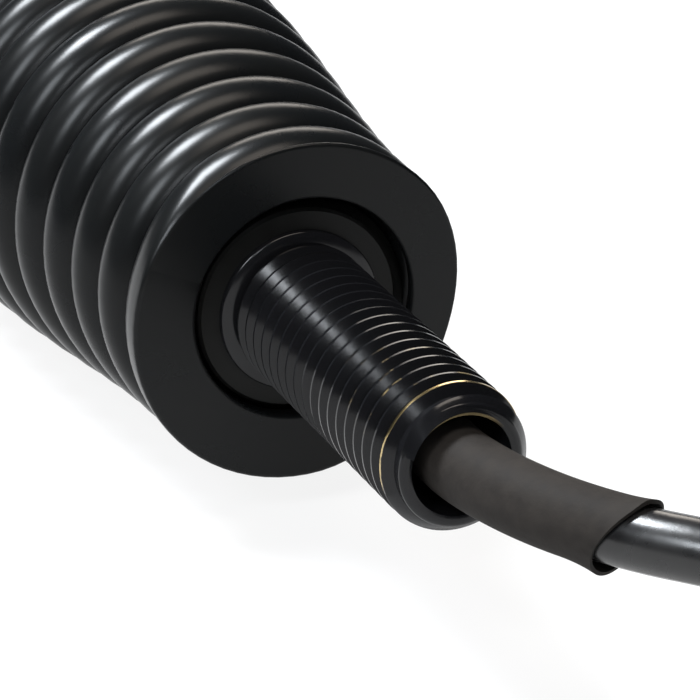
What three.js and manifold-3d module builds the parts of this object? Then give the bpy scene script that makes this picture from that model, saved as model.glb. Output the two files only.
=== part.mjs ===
// Sprung base of a vehicle whip aerial, with its coaxial lead: a barrel spring,
// ground flat at both ends, is screwed over a ferrule at each end. A hollow
// threaded stud stands out of the lower ferrule and the lead leaves through it.
// The base lies on its side on the belly of the spring, its axis along Y and the
// stud towards -Y, and the spare lead lies in a hank beyond it. Millimetres, +Z up.
import * as THREE from 'three';
import { mergeVertices } from 'three/addons/utils/BufferGeometryUtils.js';
import Module from 'manifold-3d';

const wasm = await Module();
wasm.setup();

// ---- Driving dimensions --------------------------------------------------
const gap = 0.3;                  // clearance between pieces that touch
const past = 1;                   // how far a cutting body runs out past a face
const edge = 0.6;                 // chamfer of the turned edges
const tipShare = 0.6;             // a rounded pin's end, as a share of its radius

// Stations run along the axis from the spring's lower ground face, and the
// stud's side of that face is negative.
const springLength = 94.5;
const bellyStation = 47;
const bellyRadius = 18.4;         // outside of the turns at the belly
const endRadius = 14.66;          // outside of the turns at the ground faces
const wireDiameter = 4.8;
const springPitch = 5.25;
const groundAway = 2;             // how far the wire's end starts beyond the ground face
const bellyFlat = 0.5;            // depth of the flat that the base lies on
const springSteps = 16;           // steps in a turn
const springSides = 7;
const wireEndAngle = -67.5;       // where the lower feather end lies, degrees from the top

const discRadius = 8.7;           // face of a ferrule, seen inside the ground end
const discRecess = 1.2;
const ferruleRadius = 10.9;       // over the helical seat
const ferruleDepth = 14;          // station of the ferrule's inner face
const seatStart = 3;              // where the helical seat begins
const seatSlope = 0.8;            // length of the cone from the disc to the seat
const leadHole = 3.2;             // radius of the hole for the lead

const studRadius = 6;
const studLength = 32.3;          // from the ground face to the tip
const studTip = 2.2;              // length of the chamfered tip
const studTipRadius = 4.9;
const studBore = 4.04;
const studSeat = 9.6;             // station of the stud's inner end
const collarRadius = 6.9;
const collarThickness = 0.6;

const leadRadius = 2.475;
const sleeveWall = 0.32;
const sleeveAir = 0.12;           // between the lead and its shrunk sleeve
const crimpLength = 9;
const crimpInset = 1;             // from the stud's inner end to the crimp
const glandLength = 10;
const glandEnd = -4;              // station of the gland's inner end

const neckRadius = 9;             // socket outside the spring's upper end
const neckLength = 22;
const flatsAcross = 15.5;         // two spanner flats
const flatsLength = 9;
const flatsInset = 4;             // from the socket's mouth to the flats
const neckEdge = 1;
const whipBore = 4.25;            // M10 thread's minor radius
const whipDepth = 15;
const insulatorRadius = 5.2;
const insulatorShoulder = 17.8;   // from the socket's mouth to the insulator's shoulder
const insulatorLength = 14.7;
const noseRadius = 3.9;
const noseLength = 4.3;
const cavityRadius = 2.8;
const cavityDepth = 12;
const noseFloor = 3;              // thickness of the nose over the cavity
const plungerRadius = 1.5;
const plungerCollar = 2.4;
const plungerCollarLength = 2;
const plungerEdge = 0.8;
const plungerReach = 3;           // how far the contact stands above the nose
const terminalLength = 1.7;
const contactWire = 0.6;
const sealGroove = 1.6;
const sealRadius = 5.65;
const sealThickness = 0.75;

const screwRadius = 1.5;
const screwHead = 2.2;
const screwHeadHeight = 1.6;
const screwLength = 4;
const screwOffset = 6.4;
const lugThickness = 0.8;
const lugWidth = 5;
const lugReach = 9.4;             // from the axis to the outside of the tongue
const lugTongue = 6.5;
const braidThickness = 1.2;
const braidSwell = 2.2;           // how far the braid follows the barrel outwards
const innerSlack = [-1.2, 0.6];   // how far the inner lead bows out halfway
const innerStraight = [6, 10];    // its straight stretches at either end

const foldInner = 15;             // radius of the hank's innermost fold
const runLength = 75;             // straight runs between its folds
const coilPitch = 5.5;            // between turns and between layers
const coilTurns = 12;
const coilTurnsPerLayer = 2.5;
const coilPlace = [14.1, -192.5]; // middle of the hank
const coilSides = 6;
const runSteps = 3;
const foldSteps = 9;
const strapThickness = 1;
const strapWidth = 9;
const strapPlaces = [4.5, -20.5]; // along Y from the middle of the hank

const plugFront = 39;             // from the cable entry to the pin's tip
const plugPlace = [36.6, -221];
const plugLift = 12.1;            // its axis above the topmost turns
const bodyRadius = 6.8;
const bodyTube = 5.9;
const bodyShoulder = 15;
const bodyEnd = 28;
const tubeWall = 0.8;
const tubeFloor = 16;             // where the tube's bore begins
const ringRadius = 9.3;
const ringStart = 19;
const ringEnd = 38;
const ringBore = 7.9;
const ringLip = 3.5;
const plugPin = 2;
const pinFoot = 11;
const insulatorInset = 0.5;
const reducerFlange = 3;
const reducerRadius = 5;
const reducerNeck = 4.2;
const reducerLength = 12;
const reliefLength = 18;
const reliefWall = [1.6, 0.7];    // at the plug and at its free end
const leadEnd = 9;                // where the lead ends inside the plug

// ---- Values worked out from them ------------------------------------------
const wireRadius = wireDiameter / 2;
const axisHeight = bellyRadius - bellyFlat;
const mouthStation = springLength + neckLength;
const middleStation = (mouthStation - studLength) / 2;
const strapRise = strapThickness + gap;
const coilLayers = Math.ceil(coilTurns / coilTurnsPerLayer);
const layerHeight = (layer) => strapRise + leadRadius + layer * coilPitch;
const coilOuter = foldInner + coilPitch * coilTurnsPerLayer;
const plugHeight = layerHeight(coilLayers - 1) + plugLift;
const sleeveRadius = leadRadius + sleeveAir + sleeveWall;

// ---- Helpers ----------------------------------------------------------------
const whole = new THREE.Group();
const base = new THREE.Group();
base.position.set(0, -middleStation, axisHeight);
whole.add(base);

const finishes = {
  blackSpring: { color: 0x17181a, roughness: 0.32, metalness: 0.2 },
  groundSteel: { color: 0x24241f, roughness: 0.6, metalness: 0.4 },
  wornBrass: { color: 0x4a3d22, roughness: 0.35, metalness: 0.9 },
  brass: { color: 0xb08d4a, roughness: 0.3, metalness: 1 },
  nickel: { color: 0xb9b9b4, roughness: 0.28, metalness: 1 },
  steel: { color: 0x8d8f92, roughness: 0.35, metalness: 1 },
  copper: { color: 0xb0683c, roughness: 0.45, metalness: 0.9 },
  rubber: { color: 0x1a1a1a, roughness: 0.75, metalness: 0 },
  sleeve: { color: 0x1d1a18, roughness: 0.55, metalness: 0 },
  jacket: { color: 0x0e0e0f, roughness: 0.25, metalness: 0 },
  nylon: { color: 0xe6e1d2, roughness: 0.5, metalness: 0 },
  strap: { color: 0x202124, roughness: 0.9, metalness: 0 },
};

function place(parent, name, geometry, finish) {
  const mesh = new THREE.Mesh(geometry, new THREE.MeshStandardMaterial(finishes[finish]));
  mesh.name = name;
  parent.add(mesh);
  return mesh;
}

// A body turned about Y from a profile of [radius, station] corners.
function turned(profile, segments = 32) {
  const corners = profile.map(([radius, station]) => new THREE.Vector2(radius, station));
  return new THREE.LatheGeometry(corners, segments);
}

// A ring turned about Y: its profile closes on itself.
function turnedRing(profile, segments = 32) {
  return turned([...profile, profile[0]], segments);
}

function toSolid(geometry) {
  const bare = geometry.clone();
  bare.deleteAttribute('normal');
  bare.deleteAttribute('uv');
  const merged = mergeVertices(bare, 1e-5);
  return new wasm.Manifold(new wasm.Mesh({
    numProp: 3,
    vertProperties: new Float32Array(merged.attributes.position.array),
    triVerts: new Uint32Array(merged.index.array),
  }));
}

function toGeometry(solid) {
  const mesh = solid.getMesh();
  const geometry = new THREE.BufferGeometry();
  geometry.setAttribute('position', new THREE.BufferAttribute(mesh.vertProperties, 3));
  geometry.setIndex(new THREE.BufferAttribute(mesh.triVerts, 1));
  geometry.computeVertexNormals();
  return geometry;
}

function box(width, length, height, x, y, z) {
  return new THREE.BoxGeometry(width, length, height).translate(x, y, z);
}

// One unbroken tube round a list of centres, with a flat cap on each end. The
// section's first corner points along that centre's outward direction.
function wound(centres, outwards, radius, sides) {
  const positions = [];
  const last = centres.length - 1;
  centres.forEach((centre, i) => {
    const ahead = centres[Math.min(i + 1, last)];
    const behind = centres[Math.max(i - 1, 0)];
    const along = ahead.clone().sub(behind).normalize();
    const across = along.clone().cross(outwards[i]).normalize();
    const out = across.clone().cross(along);
    for (let side = 0; side < sides; side += 1) {
      const angle = (2 * Math.PI * side) / sides;
      const corner = centre.clone();
      corner.addScaledVector(out, radius * Math.cos(angle));
      corner.addScaledVector(across, radius * Math.sin(angle));
      positions.push(corner.x, corner.y, corner.z);
    }
  });
  const faces = [];
  for (let i = 0; i < last; i += 1) {
    for (let side = 0; side < sides; side += 1) {
      const next = (side + 1) % sides;
      const a = i * sides + side;
      const b = i * sides + next;
      faces.push(a, b, a + sides, b, b + sides, a + sides);
    }
  }
  for (let side = 1; side < sides - 1; side += 1) {
    const end = last * sides;
    faces.push(0, side + 1, side);
    faces.push(end, end + side, end + side + 1);
  }
  const geometry = new THREE.BufferGeometry();
  geometry.setAttribute('position', new THREE.Float32BufferAttribute(positions, 3));
  geometry.setIndex(faces);
  geometry.computeVertexNormals();
  return geometry;
}

// Least distance between the surfaces of two turns, measured between centres
// that lie more than a given number of steps apart.
function leastGap(centres, diameter, stepsApart) {
  let least = Infinity;
  const line = new THREE.Line3();
  const nearest = new THREE.Vector3();
  for (let i = 0; i < centres.length; i += 1) {
    for (let j = i + stepsApart; j < centres.length - 1; j += 1) {
      line.set(centres[j], centres[j + 1]);
      line.closestPointToPoint(centres[i], true, nearest);
      least = Math.min(least, nearest.distanceTo(centres[i]) - diameter);
    }
  }
  return least;
}

// ---- Barrel spring -----------------------------------------------------------
const barrelDrop = (bellyRadius - endRadius) / bellyStation ** 2;

function wireCentreRadius(station) {
  return bellyRadius - barrelDrop * (station - bellyStation) ** 2 - wireRadius;
}

// Centres and outward directions of the wire between two turn counts. Turns are
// counted from the lower feather end, and the helix is right-handed.
function springPath(firstStep, lastStep) {
  const centres = [];
  const outwards = [];
  for (let step = firstStep; step <= lastStep; step += 1) {
    const turn = step / springSteps;
    const angle = THREE.MathUtils.degToRad(wireEndAngle) + 2 * Math.PI * turn;
    const station = -groundAway + springPitch * turn;
    const radius = wireCentreRadius(station);
    const out = new THREE.Vector3(Math.sin(angle), 0, Math.cos(angle));
    centres.push(out.clone().multiplyScalar(radius).setY(station));
    outwards.push(out);
  }
  return { centres, outwards };
}

const springTurns = (springLength + 2 * groundAway) / springPitch;
const springStepCount = Math.round(springTurns * springSteps);

function barrelSpring() {
  const path = springPath(0, springStepCount);
  const least = leastGap(path.centres, wireDiameter, springSteps / 2);
  console.log(`barrel_spring: least gap between turns ${least.toFixed(2)} mm`);
  return toGeometry(toSolid(wound(path.centres, path.outwards, wireRadius, springSides))
    .trimByPlane([0, 1, 0], 0)
    .trimByPlane([0, -1, 0], -springLength)
    .trimByPlane([0, 0, 1], -axisHeight));
}

place(base, 'barrel_spring', barrelSpring(), 'blackSpring');

// ---- Ferrules ------------------------------------------------------------------
// The seat is the ferrule's outside, cut away round each turn of the wire that
// it is screwed into, one turn at a time.
function cutSeat(ferrule, fromStation, toStation) {
  const stepAt = (station) => (station + groundAway) / springPitch * springSteps;
  const first = Math.max(0, Math.floor(stepAt(fromStation - springPitch)));
  const last = Math.min(springStepCount, Math.ceil(stepAt(toStation + springPitch)));
  let cut = ferrule;
  for (let step = first; step < last; step += springSteps) {
    const path = springPath(step, Math.min(step + springSteps, last));
    cut = cut.subtract(toSolid(wound(path.centres, path.outwards, wireRadius + gap, springSides)));
  }
  return cut;
}

// A blind hole for a lug's screw in the face at a station.
function screwHole(station) {
  const depth = screwLength - lugThickness - gap;
  const hole = new THREE.CylinderGeometry(screwRadius + gap, screwRadius + gap, 2 * depth, 16);
  return toSolid(hole.translate(screwOffset, station, 0));
}

function baseFerrule() {
  const blank = turned([
    [0, discRecess],
    [discRadius, discRecess],
    [discRadius, seatStart - seatSlope],
    [ferruleRadius, seatStart],
    [ferruleRadius, ferruleDepth],
    [0, ferruleDepth],
  ], 40);
  const studHole = turned([
    [0, discRecess - past],
    [studRadius + gap, discRecess - past],
    [studRadius + gap, studSeat + gap],
    [leadHole, studSeat + gap],
    [leadHole, ferruleDepth + past],
    [0, ferruleDepth + past],
  ], 32);
  const bored = toSolid(blank).subtract(toSolid(studHole));
  const drilled = bored.subtract(screwHole(ferruleDepth));
  return toGeometry(cutSeat(drilled, seatStart, ferruleDepth));
}

function topFerrule() {
  const inner = springLength - ferruleDepth;
  const seatEnd = springLength - seatStart;
  const blank = turned([
    [0, inner],
    [ferruleRadius, inner],
    [ferruleRadius, seatEnd],
    [discRadius, seatEnd + seatSlope],
    [discRadius, springLength + gap],
    [neckRadius, springLength + 2 * gap],
    [neckRadius, mouthStation - neckEdge],
    [neckRadius - neckEdge, mouthStation],
    [0, mouthStation],
  ], 40);
  const shoulder = mouthStation - insulatorShoulder + gap;
  const socket = turned([
    [0, inner - past],
    [insulatorRadius + gap, inner - past],
    [insulatorRadius + gap, shoulder],
    [whipBore, shoulder],
    [whipBore, mouthStation + past],
    [0, mouthStation + past],
  ], 32);
  const groove = turnedRing([
    [sealRadius - sealThickness - gap / 2, mouthStation - sealGroove],
    [sealRadius + sealThickness + gap / 2, mouthStation - sealGroove],
    [sealRadius + sealThickness + gap / 2, mouthStation + past],
    [sealRadius - sealThickness - gap / 2, mouthStation + past],
  ], 32);
  const flatDepth = neckRadius - flatsAcross / 2 + past;
  const flatPlace = flatsAcross / 2 + flatDepth / 2;
  const flatStation = mouthStation - flatsInset - flatsLength / 2;
  let body = toSolid(blank).subtract(toSolid(socket)).subtract(toSolid(groove));
  for (const side of [-1, 1]) {
    const flat = box(2 * neckRadius, flatsLength, flatDepth, 0, flatStation, side * flatPlace);
    body = body.subtract(toSolid(flat));
  }
  body = body.subtract(screwHole(inner));
  return toGeometry(cutSeat(body, inner, seatEnd));
}

place(base, 'base_ferrule', baseFerrule(), 'groundSteel');
place(base, 'top_ferrule', topFerrule(), 'groundSteel');

// ---- Hollow stud ------------------------------------------------------------------
// The nose is rounded from the tip out to the thread's crests.
const studNose = [0, 30, 60, 90].map((degrees) => {
  const angle = THREE.MathUtils.degToRad(degrees);
  return [
    studTipRadius + (studRadius - studTipRadius) * Math.sin(angle),
    -studLength + studTip * (1 - Math.cos(angle)),
  ];
});

place(base, 'threaded_stud', turnedRing([
  [studBore, -studLength],
  ...studNose,
  [studRadius, discRecess - gap - collarThickness],
  [collarRadius, discRecess - gap - collarThickness],
  [collarRadius, discRecess - gap],
  [studRadius, discRecess - gap],
  [studRadius, studSeat],
  [studBore, studSeat],
], 40), 'wornBrass');

place(base, 'screen_crimp', turnedRing([
  [leadRadius + gap, studSeat - crimpLength - crimpInset],
  [studBore - gap, studSeat - crimpLength - crimpInset],
  [studBore - gap, studSeat - crimpInset],
  [leadRadius + gap, studSeat - crimpInset],
], 24), 'brass');

place(base, 'lead_gland', turnedRing([
  [leadRadius + gap, glandEnd - glandLength],
  [studBore - gap, glandEnd - glandLength],
  [studBore - gap, glandEnd],
  [leadRadius + gap, glandEnd],
], 24), 'rubber');

// ---- Whip socket ---------------------------------------------------------------------
const shoulderStation = mouthStation - insulatorShoulder;
const noseStation = shoulderStation + noseLength;
const insulatorFoot = shoulderStation - insulatorLength;
const cavityTop = noseStation - noseFloor;
const cavityFoot = cavityTop - cavityDepth;

place(base, 'socket_insulator', turnedRing([
  [cavityRadius, insulatorFoot],
  [insulatorRadius, insulatorFoot],
  [insulatorRadius, shoulderStation],
  [noseRadius, shoulderStation],
  [noseRadius, noseStation],
  [plungerRadius + gap, noseStation],
  [plungerRadius + gap, cavityTop],
  [cavityRadius, cavityTop],
], 24), 'nylon');

const collarFoot = cavityTop - gap - plungerCollarLength;
place(base, 'contact_plunger', turned([
  [0, collarFoot],
  [plungerCollar, collarFoot],
  [plungerCollar, cavityTop - gap],
  [plungerRadius, cavityTop - gap],
  [plungerRadius, noseStation + plungerReach - plungerEdge],
  [plungerRadius * tipShare, noseStation + plungerReach],
  [0, noseStation + plungerReach],
], 20), 'brass');

place(base, 'contact_terminal', turned([
  [0, cavityFoot],
  [cavityRadius - gap, cavityFoot],
  [cavityRadius - gap, cavityFoot + terminalLength],
  [0, cavityFoot + terminalLength],
], 20), 'brass');

place(base, 'contact_spring', turnedRing([
  [plungerCollar - contactWire, cavityFoot + terminalLength + gap],
  [plungerCollar, cavityFoot + terminalLength + gap],
  [plungerCollar, collarFoot - gap],
  [plungerCollar - contactWire, collarFoot - gap],
], 16), 'steel');

const seal = new THREE.TorusGeometry(sealRadius, sealThickness, 8, 32);
seal.rotateX(Math.PI / 2);
seal.translate(0, mouthStation - sealGroove + gap / 2 + sealThickness, 0);
place(base, 'mouth_seal', seal, 'rubber');

// ---- Bonding braid, its lugs and screws --------------------------------------------------
// Each lug lies on the inner face of its ferrule, and its tongue turns up along
// the inside of the spring. facing is 1 on the lower ferrule and -1 on the upper.
function lug(face, facing) {
  const ring = new THREE.CylinderGeometry(lugWidth / 2, lugWidth / 2, lugThickness, 20);
  const plate = face + facing * (gap + lugThickness / 2);
  const tongueStart = face + facing * gap;
  const reach = lugReach - screwOffset;
  const arm = box(reach, lugThickness, lugWidth, screwOffset + reach / 2, plate, 0);
  const tongue = box(
    lugThickness,
    lugTongue,
    lugWidth,
    lugReach - lugThickness / 2,
    tongueStart + (facing * lugTongue) / 2,
    0,
  );
  const depth = lugThickness + 2 * past;
  const hole = new THREE.CylinderGeometry(screwRadius + gap, screwRadius + gap, depth, 16);
  return toGeometry(toSolid(ring.translate(screwOffset, plate, 0))
    .add(toSolid(arm))
    .add(toSolid(tongue))
    .subtract(toSolid(hole.translate(screwOffset, plate, 0))));
}

function lugScrew(face, facing) {
  const under = face + facing * (2 * gap + lugThickness);
  const head = under + facing * screwHeadHeight;
  const end = under - facing * screwLength;
  const corners = [
    [0, end],
    [screwRadius, end],
    [screwRadius, under],
    [screwHead, under],
    [screwHead, head],
    [0, head],
  ];
  const ordered = facing > 0 ? corners : corners.reverse();
  return turned(ordered, 16).translate(screwOffset, 0, 0);
}

const lowerFace = ferruleDepth;
const upperFace = springLength - ferruleDepth;
place(base, 'base_lug', lug(lowerFace, 1), 'copper');
place(base, 'base_lug_screw', lugScrew(lowerFace, 1), 'steel');
place(base, 'top_lug', lug(upperFace, -1), 'copper');
place(base, 'top_lug_screw', lugScrew(upperFace, -1), 'steel');

function bondingBraid() {
  const from = lowerFace + gap + lugTongue + gap;
  const to = upperFace - gap - lugTongue - gap;
  const inner = lugReach - braidThickness;
  const third = (to - from) / 3;
  const outline = new THREE.Shape();
  outline.moveTo(inner, from);
  outline.lineTo(lugReach, from);
  outline.bezierCurveTo(
    lugReach + braidSwell, from + third,
    lugReach + braidSwell, to - third,
    lugReach, to,
  );
  outline.lineTo(inner, to);
  outline.bezierCurveTo(
    inner + braidSwell, to - third,
    inner + braidSwell, from + third,
    inner, from,
  );
  const strip = new THREE.ExtrudeGeometry(outline, {
    depth: lugWidth,
    bevelEnabled: false,
    curveSegments: 10,
  });
  return strip.translate(0, 0, -lugWidth / 2);
}

place(base, 'bonding_braid', bondingBraid(), 'copper');

// ---- Lead ---------------------------------------------------------------------------------
// The free lead: out of the stud, round to the right, and down to the surface
// where the hank's outermost run begins.
const leadRoute = [
  [0, -29.6, 17.9],
  [0, -40, 17.9],
  [0, -50, 17.9],
  [0, -60, 17.9],
  [0, -69, 17.9],
  [0.1, -74.4, 17.9],
  [1.3, -80.2, 17.95],
  [3.5, -85.8, 18],
  [6.7, -90.9, 18],
  [10.6, -95.5, 18],
  [16.5, -101.3, 17.4],
  [22.6, -107.3, 15.7],
  [28.7, -113.6, 13.1],
  [34.1, -120.8, 10],
  [38.4, -129, 7],
  [41.4, -137.8, 4.9],
  [42.8, -145.5, 3.85],
];

// The tail: off the topmost run and up to the plug, which lies on the hank.
const tailRoute = [
  [31.9, -163, 25.83],
  [32.1, -168, 26.9],
  [32.6, -173.2, 29.2],
  [33.4, -178.8, 32.1],
  [34.5, -184.8, 34.9],
  [35.6, -191, 36.9],
  [36.3, -197, 37.7],
];

const toVector = ([x, y, z]) => new THREE.Vector3(x, y, z);

// Place in the hank after a count of turns. They spiral in and out again, and
// climb a layer in the half turn where the spiral turns back. Even halves of a
// turn run towards -Y and fold round, and odd halves come back.
const meanFold = (foldInner + coilOuter) / 2;
const runShare = runLength / (2 * runLength + 2 * Math.PI * meanFold);

function coilPoint(turn) {
  const leg = turn / coilTurnsPerLayer;
  const fromInner = Math.abs(leg - 2 * Math.floor(leg / 2) - 1);
  const radius = foldInner + coilPitch * coilTurnsPerLayer * fromInner;
  let climbed = 0;
  for (let layer = 1; layer < coilLayers; layer += 1) {
    const share = THREE.MathUtils.clamp((turn - layer * coilTurnsPerLayer) * 2 + 0.5, 0, 1);
    climbed += 0.5 - 0.5 * Math.cos(Math.PI * share);
  }
  const half = Math.floor(2 * turn);
  const side = half % 2 === 0 ? 1 : -1;
  const along = turn - half / 2;
  const run = runLength * (Math.min(along / runShare, 1) - 0.5);
  const fold = Math.PI * Math.max(along - runShare, 0) / (0.5 - runShare);
  return new THREE.Vector3(
    coilPlace[0] + side * radius * Math.cos(fold),
    coilPlace[1] - side * (run + radius * Math.sin(fold)),
    layerHeight(climbed),
  );
}

const straightEnd = new THREE.Vector3(0, -2 * leadRadius, 0);
const toLead = straightEnd.clone().add(new THREE.Vector3(0, -gap, 0));
const tailInlet = new THREE.Vector3(plugPlace[0], plugPlace[1] + reliefLength, plugHeight);
const tailEnd = new THREE.Vector3(plugPlace[0], plugPlace[1] - leadEnd, plugHeight);

const leadCurve = new THREE.CatmullRomCurve3([
  ...leadRoute.map(toVector),
  coilPoint(0).sub(toLead),
]);
const tailCurve = new THREE.CatmullRomCurve3([
  coilPoint(coilTurns).add(toLead),
  ...tailRoute.map(toVector),
  tailInlet,
  tailInlet.clone().lerp(tailEnd, 0.2),
  tailEnd,
]);

// The stretch of a curve between two shares of its length.
class Stretch extends THREE.Curve {
  constructor(curve, first, last) {
    super();
    this.curve = curve;
    this.first = first;
    this.last = last;
  }

  getPoint(t, target = new THREE.Vector3()) {
    return this.curve.getPointAt(THREE.MathUtils.lerp(this.first, this.last, t), target);
  }
}

function round(radius, sides) {
  const outline = new THREE.Shape();
  for (let side = 0; side <= sides; side += 1) {
    const angle = (2 * Math.PI * side) / sides;
    const corner = [radius * Math.cos(angle), radius * Math.sin(angle)];
    if (side === 0) outline.moveTo(...corner);
    else outline.lineTo(...corner);
  }
  return outline;
}

function alongCurve(outline, curve, steps) {
  return new THREE.ExtrudeGeometry(outline, { steps, extrudePath: curve, bevelEnabled: false });
}

// Lead and sleeve share their steps, so that their facets follow each other.
leadCurve.arcLengthDivisions = 2000;
tailCurve.arcLengthDivisions = 1000;
const leadSteps = 24;
const tailSteps = 16;
const sleeveFirst = 5;            // step inside the stud where the sleeve starts
const sleeveLast = 11;            // step where its cut end lies

function shrunkSleeve() {
  const outline = round(sleeveRadius, 10);
  outline.holes.push(round(leadRadius + sleeveAir, 10));
  const curve = new Stretch(leadCurve, sleeveFirst / leadSteps, sleeveLast / leadSteps);
  return alongCurve(outline, curve, sleeveLast - sleeveFirst);
}

place(whole, 'coax_lead', alongCurve(round(leadRadius, 10), leadCurve, leadSteps), 'jacket');
place(whole, 'coax_tail', alongCurve(round(leadRadius, 10), tailCurve, tailSteps), 'jacket');
place(whole, 'shrunk_sleeve', shrunkSleeve(), 'sleeve');

// The lead goes on through the spring, with a little slack for its bending.
function innerLead() {
  const from = lowerFace + gap;
  const to = cavityFoot - gap;
  const middle = (from + to) / 2;
  const slack = new THREE.CatmullRomCurve3([
    [0, from, 0],
    [0, from + innerStraight[0], 0],
    [innerSlack[0], middle, innerSlack[1]],
    [0, to - innerStraight[1], 0],
    [0, to, 0],
  ].map(toVector));
  return alongCurve(round(leadRadius, 10), slack, 12);
}

place(base, 'inner_lead', innerLead(), 'jacket');

// ---- Hank of spare lead ------------------------------------------------------------------------
function coilPath() {
  const turns = [];
  for (let half = 0; half < 2 * coilTurns; half += 1) {
    for (let step = 0; step < runSteps; step += 1) {
      turns.push(half / 2 + runShare * step / runSteps);
    }
    for (let step = 0; step < foldSteps; step += 1) {
      turns.push(half / 2 + runShare + (0.5 - runShare) * step / foldSteps);
    }
  }
  turns.push(coilTurns);
  const centres = turns.map(coilPoint);
  centres.unshift(centres[0].clone().sub(straightEnd));
  centres.push(centres[centres.length - 1].clone().add(straightEnd));
  return centres;
}

const coil = coilPath();
const upwards = coil.map(() => new THREE.Vector3(0, 0, 1));
const coilGap = leastGap(coil, 2 * leadRadius, runSteps + foldSteps);
console.log(`coax_coil: least gap between turns ${coilGap.toFixed(2)} mm`);
place(whole, 'coax_coil', wound(coil, upwards, leadRadius, coilSides), 'jacket');

// A strap goes round all the turns, and the hank lies on the straps.
function strap(along) {
  const side = coilOuter + leadRadius + gap;
  const top = layerHeight(coilLayers - 1) + leadRadius + gap;
  const outline = new THREE.Shape();
  outline.moveTo(-side - strapThickness, 0);
  outline.lineTo(side + strapThickness, 0);
  outline.lineTo(side + strapThickness, top + strapThickness);
  outline.lineTo(-side - strapThickness, top + strapThickness);
  const hole = new THREE.Path();
  hole.moveTo(-side, strapThickness);
  hole.lineTo(-side, top);
  hole.lineTo(side, top);
  hole.lineTo(side, strapThickness);
  outline.holes.push(hole);
  const band = new THREE.ExtrudeGeometry(outline, { depth: strapWidth, bevelEnabled: false });
  band.translate(0, 0, -strapWidth / 2);
  band.rotateX(Math.PI / 2);
  return band.translate(coilPlace[0], coilPlace[1] + along, 0);
}

place(whole, 'coil_strap_1', strap(strapPlaces[0]), 'strap');
place(whole, 'coil_strap_2', strap(strapPlaces[1]), 'strap');

// ---- Plug ------------------------------------------------------------------------------------------
// Its pieces are turned about its own axis, from the end where the lead enters,
// and it points towards -Y.
const plug = new THREE.Group();
plug.position.set(plugPlace[0], plugPlace[1], plugHeight);
plug.rotation.z = Math.PI;
whole.add(plug);

const leadBore = leadRadius + gap;

place(plug, 'plug_relief', turnedRing([
  [leadBore, -reliefLength],
  [leadBore + reliefWall[1], -reliefLength],
  [leadBore + reliefWall[0], -gap],
  [leadBore, -gap],
], 20), 'rubber');

place(plug, 'plug_reducer', turnedRing([
  [leadBore, 0],
  [reducerRadius, 0],
  [reducerRadius, reducerFlange],
  [reducerNeck, reducerFlange],
  [reducerNeck, reducerLength],
  [leadBore, reducerLength],
], 24), 'nickel');

place(plug, 'plug_body', turnedRing([
  [reducerNeck + gap, reducerFlange + gap],
  [bodyRadius, reducerFlange + gap],
  [bodyRadius, bodyShoulder],
  [bodyTube, bodyShoulder + edge],
  [bodyTube, bodyEnd],
  [bodyTube - tubeWall, bodyEnd],
  [bodyTube - tubeWall, tubeFloor],
  [reducerNeck + gap, tubeFloor],
], 28), 'nickel');

place(plug, 'plug_insulator', turnedRing([
  [plugPin + gap, tubeFloor + gap],
  [bodyTube - tubeWall - gap, tubeFloor + gap],
  [bodyTube - tubeWall - gap, bodyEnd - insulatorInset],
  [plugPin + gap, bodyEnd - insulatorInset],
], 24), 'nylon');

place(plug, 'plug_pin', turned([
  [0, pinFoot],
  [plugPin, pinFoot],
  [plugPin, plugFront - edge],
  [plugPin * tipShare, plugFront],
  [0, plugFront],
], 20), 'nickel');

place(plug, 'coupling_ring', turnedRing([
  [bodyTube + gap, ringStart],
  [ringRadius - edge, ringStart],
  [ringRadius, ringStart + edge],
  [ringRadius, ringEnd - edge],
  [ringRadius - edge, ringEnd],
  [ringBore, ringEnd],
  [ringBore, ringStart + ringLip],
  [bodyTube + gap, ringStart + ringLip],
], 36), 'nickel');

export default whole;
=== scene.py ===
"""Sprung base of a vehicle whip aerial, lying on its side with its coaxial lead."""
import math

import bmesh
import bpy
from mathutils import Matrix, Vector


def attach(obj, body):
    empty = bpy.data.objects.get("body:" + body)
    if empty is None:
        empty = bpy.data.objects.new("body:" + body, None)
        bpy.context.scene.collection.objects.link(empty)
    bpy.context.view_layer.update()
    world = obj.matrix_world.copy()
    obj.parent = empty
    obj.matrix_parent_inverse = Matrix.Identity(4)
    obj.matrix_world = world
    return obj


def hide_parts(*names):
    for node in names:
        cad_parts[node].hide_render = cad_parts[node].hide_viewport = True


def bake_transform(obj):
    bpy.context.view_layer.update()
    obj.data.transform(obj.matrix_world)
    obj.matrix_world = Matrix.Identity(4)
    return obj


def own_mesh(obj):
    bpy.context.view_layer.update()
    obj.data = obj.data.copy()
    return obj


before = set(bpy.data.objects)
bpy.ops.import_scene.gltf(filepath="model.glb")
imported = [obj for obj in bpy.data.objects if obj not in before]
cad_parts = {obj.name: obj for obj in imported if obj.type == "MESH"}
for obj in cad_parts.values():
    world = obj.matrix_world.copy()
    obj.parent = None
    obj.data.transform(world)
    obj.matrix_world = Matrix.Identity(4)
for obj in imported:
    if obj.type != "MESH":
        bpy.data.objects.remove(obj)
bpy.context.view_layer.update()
MM = 0.001

# ---- Camera ------------------------------------------------------------------
# The base is seen from low down on its stud's side, through a long lens, so that
# the spring runs out of the picture at the upper left and the lead at the right.
CAMERA_PLACE = Vector((-119.4, -341.8, 152.9)) * MM
CAMERA_TURN = math.radians(22.4)
CAMERA_DROP = math.radians(23.2)
LENS = 219.9


def link(name, data):
    piece = bpy.data.objects.new(name, data)
    bpy.context.scene.collection.objects.link(piece)
    return piece


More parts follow.
